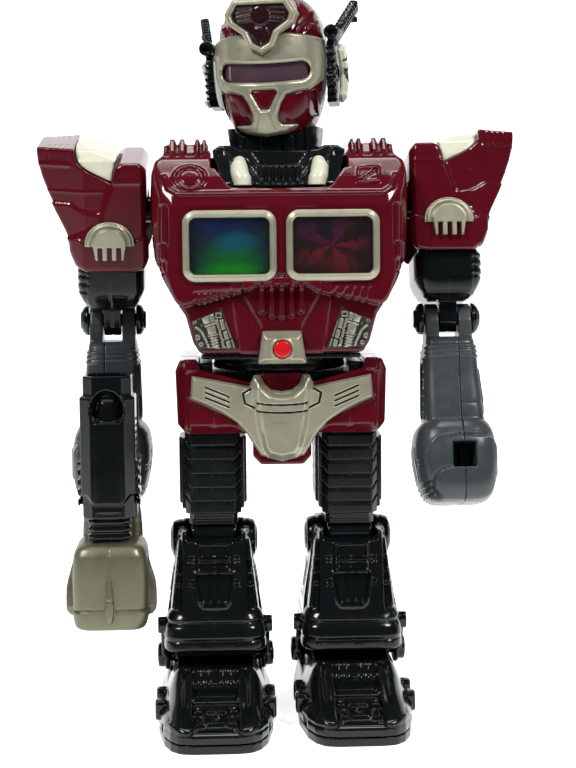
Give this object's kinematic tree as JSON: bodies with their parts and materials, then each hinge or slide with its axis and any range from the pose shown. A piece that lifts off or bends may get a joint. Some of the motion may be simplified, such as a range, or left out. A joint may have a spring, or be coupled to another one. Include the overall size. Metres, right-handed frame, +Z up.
{
  "type": "toy robot",
  "caption": "Battery-powered walking toy robot with moulded plastic shells, turning waist and head, hinged arms and legs, and a pull-out hand blaster.",
  "frame": {"origin": "middle of the bounding box, on the surface that the soles stand on", "axes": "+Z up, the robot faces -Y, its own left side is +X"},
  "size_m": [0.216, 0.1218, 0.3272],
  "materials": {
    "red_shell": "deep wine red moulded shell, high gloss, faint mould seam lines",
    "black_shell": "black moulded shell, high gloss",
    "grey_shell": "dark grey moulded shell, soft satin gloss",
    "champagne": "champagne metallic lacquer over plastic, satin",
    "gold_satin": "dull olive gold metallic lacquer over plastic, satin",
    "silver_relief": "silver metallic lacquer over relief, darker in the recesses",
    "cream": "warm white plastic, satin",
    "visor_smoke": "smoky translucent plastic",
    "crest_dark": "very dark maroon plastic, glossy",
    "clear_lens": "clear flat lens",
    "card_green": "printed changing-picture card, blue fading to green",
    "card_red": "printed changing-picture card, dark red on black",
    "button_red": "bright red plastic, glossy",
    "inner_plastic": "plain dark grey plastic, matte, inside the shells",
    "screw_steel": "plated steel screw"
  },
  "bodies": {
    "pelvis": {"pelvis_front": "red_shell", "pelvis_back": "red_shell", "belt_plate": "champagne", "hip_gearbox": "inner_plastic"},
    "torso": {"chest_front": "red_shell", "chest_back": "red_shell", "collar": "black_shell", "button_housing": "champagne", "waist_plate": "black_shell", "battery_tray": "inner_plastic", "right_window_bezel": "champagne", "left_window_bezel": "champagne", "right_window_lens": "clear_lens", "left_window_lens": "clear_lens", "right_window_card": "card_green", "left_window_card": "card_red", "right_abdomen_panel": "silver_relief", "left_abdomen_panel": "silver_relief", "right_collar_pipe": "cream", "left_collar_pipe": "cream"},
    "demo_button": {"demo_button": "button_red"},
    "battery_door": {"battery_door": "red_shell", "door_screw": "screw_steel"},
    "power_switch": {"power_switch": "black_shell"},
    "head": {"helmet_front": "red_shell", "helmet_back": "red_shell", "face_plate": "red_shell", "visor_lens": "visor_smoke", "face_mask": "champagne", "crest_frame": "champagne", "crest_panel": "crest_dark", "neck_block": "black_shell", "right_ear_pod": "black_shell", "left_ear_pod": "black_shell", "right_ear_blade": "cream", "left_ear_blade": "cream"},
    "blaster": {"blaster_body": "black_shell", "blaster_pod": "gold_satin"},
    "right_arm": {"right_shoulder_pad": "red_shell", "right_pad_insert": "cream", "right_pad_badge": "champagne", "right_upper_arm": "black_shell"},
    "right_forearm": {"right_forearm_inner": "grey_shell", "right_forearm_outer": "grey_shell", "right_elbow_pin": "black_shell"},
    "right_leg": {"right_thigh": "black_shell", "right_shin": "black_shell"},
    "right_foot": {"right_foot_upper": "black_shell", "right_foot_sole": "black_shell"},
    "left_arm": {"left_shoulder_pad": "red_shell", "left_pad_insert": "cream", "left_pad_badge": "champagne", "left_upper_arm": "black_shell"},
    "left_forearm": {"left_forearm_inner": "grey_shell", "left_forearm_outer": "grey_shell", "left_elbow_pin": "black_shell"},
    "left_leg": {"left_thigh": "black_shell", "left_shin": "black_shell"},
    "left_foot": {"left_foot_upper": "black_shell", "left_foot_sole": "black_shell"}
  },
  "joints": [
    {"name": "waist", "type": "hinge", "parent": "pelvis", "child": "torso", "pos_m": [0, 0.0225, 0.16335], "axis": [0, 0, 1], "range_deg": [-30, 30]},
    {"name": "neck", "type": "hinge", "parent": "torso", "child": "head", "pos_m": [0, 0.0225, 0.25195], "axis": [-0.0175, 0, 0.9998], "range_deg": [-45, 45]},
    {"name": "right_shoulder", "type": "hinge", "parent": "torso", "child": "right_arm", "pos_m": [0, 0.0225, 0.22995], "axis": [-1, 0, 0], "range_deg": [-33, 162]},
    {"name": "right_elbow", "type": "hinge", "parent": "right_arm", "child": "right_forearm", "pos_m": [-0.0765, 0.03331, 0.17909], "axis": [-1, 0, 0], "range_deg": [-12, 58]},
    {"name": "left_shoulder", "type": "hinge", "parent": "torso", "child": "left_arm", "pos_m": [0, 0.0225, 0.22995], "axis": [-1, 0, 0], "range_deg": [-55, 140]},
    {"name": "left_elbow", "type": "hinge", "parent": "left_arm", "child": "left_forearm", "pos_m": [0.0765, 0.01347, 0.17874], "axis": [-1, 0, 0], "range_deg": [-3, 67]},
    {"name": "right_hip", "type": "hinge", "parent": "pelvis", "child": "right_leg", "pos_m": [-0.031, 0.0225, 0.14645], "axis": [-1, 0, 0], "range_deg": [-7.6, 4.4]},
    {"name": "right_ankle", "type": "hinge", "parent": "right_leg", "child": "right_foot", "pos_m": [-0.031, 0.01908, 0.024], "axis": [-1, 0, 0], "range_deg": [-4.4, 7.6]},
    {"name": "left_hip", "type": "hinge", "parent": "pelvis", "child": "left_leg", "pos_m": [0.031, 0.0225, 0.14645], "axis": [-1, 0, 0], "range_deg": [-4.4, 7.6]},
    {"name": "left_ankle", "type": "hinge", "parent": "left_leg", "child": "left_foot", "pos_m": [0.031, 0.02592, 0.024], "axis": [-1, 0, 0], "range_deg": [-7.6, 4.4]},
    {"name": "blaster_pull", "type": "slide", "parent": "right_forearm", "child": "blaster", "axis": [0, -1, 0], "range_m": [0, 0.032]},
    {"name": "button_press", "type": "slide", "parent": "torso", "child": "demo_button", "axis": [0, 1, 0], "range_m": [0, 0.0017], "stiffness_N_per_m": 400, "springref_m": -0.001},
    {"name": "door_removal", "type": "slide", "parent": "torso", "child": "battery_door", "axis": [0, 1, 0], "range_m": [0, 0.025]},
    {"name": "switch_slide", "type": "slide", "parent": "torso", "child": "power_switch", "axis": [1, 0, 0], "range_m": [-0.0028, 0.0028]}
  ],
  "couplings": [
    {"joint": "left_hip", "follows": "right_hip", "ratio": -1},
    {"joint": "right_ankle", "follows": "right_hip", "ratio": -1},
    {"joint": "left_ankle", "follows": "right_hip", "ratio": 1}
  ]
}
